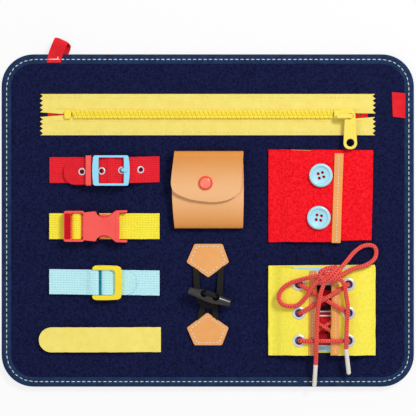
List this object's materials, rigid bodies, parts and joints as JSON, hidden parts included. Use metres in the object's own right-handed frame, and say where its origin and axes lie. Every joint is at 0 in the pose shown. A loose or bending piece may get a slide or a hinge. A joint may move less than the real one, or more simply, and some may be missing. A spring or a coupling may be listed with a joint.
{
  "type": "busy board",
  "caption": "soft felt busy board with bound edges: zip, pin belt, side-release clip, slide buckle, peel strap, snap pouch, toggle, buttons and shoelace",
  "frame": {"origin": "the middle of the board's flat back face", "axes": "+X along the zip towards its slider, +Y from the lower edge up to the hanging loop's edge, +Z out of the board's face"},
  "size_m": [0.32, 0.2729, 0.0235],
  "materials": {
    "felt_navy": "napped",
    "felt_back": "napped",
    "binding_blue": "woven",
    "ribbon_red": "woven",
    "webbing_red": "woven",
    "webbing_yellow": "woven",
    "webbing_blue": "woven",
    "tape_yellow": "woven",
    "teeth_yellow": "moulded",
    "zip_enamel": "enamelled",
    "peel_yellow": "woven",
    "buckle_blue": "moulded",
    "buckle_red": "moulded",
    "buckle_yellow": "moulded",
    "metal_bright": "plated",
    "felt_red": "napped",
    "felt_yellow": "napped",
    "leather_orange": "smooth",
    "trim_orange": "smooth",
    "snap_red": "polished",
    "cord_black": "braided",
    "toggle_black": "polished",
    "button_blue": "moulded",
    "lace_red": "braided",
    "aglet_white": "smooth",
    "board_core": "raw",
    "print_pastel": "printed",
    "hook_white": "napped"
  },
  "bodies": {
    "board": {"back_panel": "felt_back", "core_board": "board_core", "front_panel": "felt_navy", "edge_binding": "binding_blue", "hang_loop": "ribbon_red", "side_tab": "ribbon_red", "zip_backing": "print_pastel", "zip_tapes": "tape_yellow", "zip_teeth": "teeth_yellow", "zip_bottom_stop": "teeth_yellow", "belt_base_strap": "webbing_red", "belt_tongue_strap": "webbing_red", "belt_eyelets": "metal_bright", "belt_buckle_frame": "buckle_blue", "clip_socket": "buckle_red", "clip_plug": "buckle_red", "clip_strap_left": "webbing_yellow", "clip_strap_right": "webbing_yellow", "slide_buckle": "buckle_yellow", "slide_strap_left": "webbing_blue", "slide_strap_right": "webbing_blue", "loop_patch": "hook_white", "peel_strap_foot": "peel_yellow", "pouch_body": "leather_orange", "snap_stud": "metal_bright", "toggle_patches": "leather_orange", "toggle_loop_cord": "cord_black", "toggle_anchor_cord": "cord_black", "button_base_panel": "felt_red", "printed_panels": "print_pastel", "button_shanks": "lace_red", "button_flap": "felt_red", "button_flap_trim": "trim_orange", "lace_base_panel": "felt_yellow", "lace_flap_left": "felt_yellow", "lace_flap_right": "felt_yellow", "lace_trims": "trim_orange", "lace_eyelets": "metal_bright", "lace": "lace_red", "lace_knot": "lace_red", "lace_bow_left": "lace_red", "lace_bow_right": "lace_red", "lace_end_left": "lace_red", "lace_end_right": "lace_red", "aglets": "aglet_white"},
    "zip_slider": {"zip_slider": "zip_enamel"},
    "zip_pull": {"zip_pull": "zip_enamel"},
    "belt_prong": {"belt_prong": "buckle_blue"},
    "belt_keeper": {"belt_keeper": "buckle_red"},
    "clip_arm_upper": {"clip_arm_upper": "buckle_red"},
    "clip_arm_lower": {"clip_arm_lower": "buckle_red"},
    "pouch_flap": {"pouch_flap": "leather_orange", "snap_cap": "snap_red", "snap_socket": "metal_bright"},
    "toggle": {"toggle_button": "toggle_black", "toggle_bridge_cord": "cord_black"},
    "peel_strap": {"peel_strap": "peel_yellow", "hook_patch": "hook_white"},
    "button_upper": {"button_upper": "button_blue"},
    "button_lower": {"button_lower": "button_blue"}
  },
  "joints": [
    {"name": "zip_slide", "type": "slide", "parent": "board", "child": "zip_slider", "axis": [-1, 0, 0], "range_m": [0, 0.2025]},
    {"name": "pull_swing", "type": "hinge", "parent": "zip_slider", "child": "zip_pull", "pos_m": [0.1102, 0.0806, 0.0109], "axis": [0, 0, 1], "range_deg": [0, 180]},
    {"name": "prong_lift", "type": "hinge", "parent": "board", "child": "belt_prong", "pos_m": [-0.0758, 0.039, 0.0092], "axis": [0, -1, 0], "range_deg": [0, 2.5]},
    {"name": "keeper_slide", "type": "slide", "parent": "board", "child": "belt_keeper", "axis": [-1, 0, 0], "range_m": [0, 0.006]},
    {"name": "clip_squeeze_upper", "type": "hinge", "parent": "board", "child": "clip_arm_upper", "pos_m": [-0.092, 0.0018, 0.0106], "axis": [0, 0, -1], "range_deg": [0, 7], "stiffness_Nm_per_rad": 0.3},
    {"name": "clip_squeeze_lower", "type": "hinge", "parent": "board", "child": "clip_arm_lower", "pos_m": [-0.092, -0.0106, 0.0106], "axis": [0, 0, 1], "range_deg": [0, 7], "stiffness_Nm_per_rad": 0.3},
    {"name": "flap_fold", "type": "hinge", "parent": "board", "child": "pouch_flap", "pos_m": [0, 0.0486, 0.0161], "axis": [-1, 0, 0], "range_deg": [0, 165]},
    {"name": "toggle_turn", "type": "hinge", "parent": "board", "child": "toggle", "pos_m": [0.0013, -0.0586, 0.01445], "axis": [0, 0, 1], "range_deg": [-70, 70]},
    {"name": "strap_peel", "type": "hinge", "parent": "board", "child": "peel_strap", "pos_m": [-0.0418, -0.0925, 0.0068], "axis": [0, 1, 0], "range_deg": [0, 150]},
    {"name": "upper_button_turn", "type": "hinge", "parent": "board", "child": "button_upper", "pos_m": [0.0875, 0.0347, 0.0106], "axis": [0, 0, 1], "range_deg": [-90, 90]},
    {"name": "lower_button_turn", "type": "hinge", "parent": "board", "child": "button_lower", "pos_m": [0.0859, 0.0021, 0.0106], "axis": [0, 0, 1], "range_deg": [-90, 90]}
  ]
}
